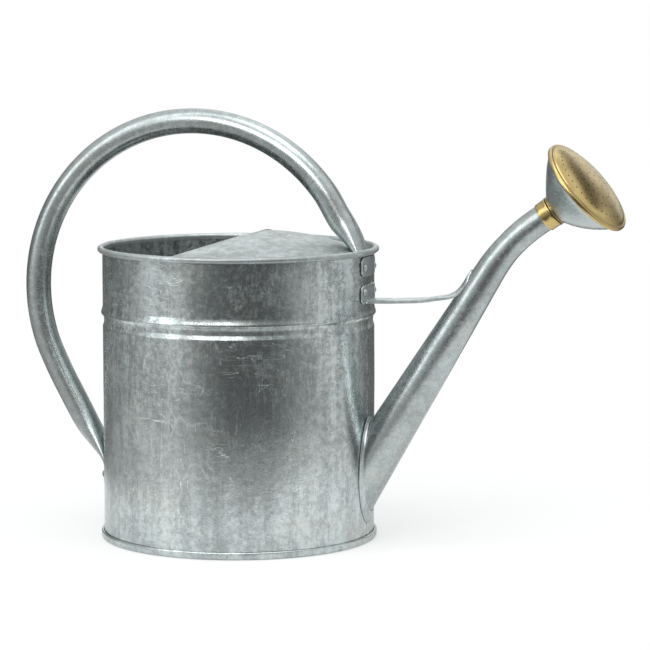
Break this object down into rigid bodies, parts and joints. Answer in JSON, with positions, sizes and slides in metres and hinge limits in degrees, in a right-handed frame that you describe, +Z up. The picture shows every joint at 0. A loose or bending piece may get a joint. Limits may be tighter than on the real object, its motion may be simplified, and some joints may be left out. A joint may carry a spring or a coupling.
{
  "type": "watering can",
  "caption": "Galvanised sheet steel watering can with a hooped tube handle, half hood, braced gooseneck spout and a brass faced rose that screws off.",
  "frame": {"origin": "middle of the box in X and Y, on the ground", "axes": "+X towards the spout, +Z up, +Y across the can"},
  "size_m": [0.4994, 0.2276, 0.346],
  "materials": {
    "galvanised_body": "aged hot dip zinc, mottled and scuffed",
    "galvanised_tube": "aged zinc, satin along the tube",
    "galvanised_hood": "dull zinc with faint strokes",
    "galvanised_fittings": "dull zinc",
    "smooth_zinc": "smooth pale zinc",
    "brass": "lightly worn brass",
    "washer_rubber": "matt black"
  },
  "bodies": {
    "can": {"body_shell": "galvanised_body", "rim_wire": "galvanised_fittings", "base_pan": "galvanised_body", "top_hood": "galvanised_hood", "handle_tube": "galvanised_tube", "handle_top_plate": "galvanised_fittings", "handle_back_plate": "galvanised_fittings", "handle_rivet_near": "galvanised_fittings", "handle_rivet_far": "galvanised_fittings", "stay_rivet_near": "galvanised_fittings", "stay_rivet_far": "galvanised_fittings", "back_rivet_near": "galvanised_fittings", "back_rivet_far": "galvanised_fittings", "spout_tube": "galvanised_tube", "spout_flange": "galvanised_fittings", "spout_stay": "galvanised_fittings", "spout_ferrule": "brass"},
    "washer": {"rose_washer": "washer_rubber"},
    "rose": {"rose_neck": "brass", "rose_bowl": "smooth_zinc", "rose_face": "brass"}
  },
  "joints": [
    {"name": "rose_travel", "type": "slide", "parent": "can", "child": "washer", "axis": [0.8141, 0, 0.5807], "range_m": [0, 0.008]},
    {"name": "rose_turn", "type": "hinge", "parent": "washer", "child": "rose", "pos_m": [0.19048, 0, 0.26704], "axis": [0.8141, 0, 0.5807], "range_deg": [0, 1440]}
  ],
  "couplings": [
    {"joint": "rose_travel", "follows": "rose_turn", "m_per_rad": 0.00031831}
  ]
}
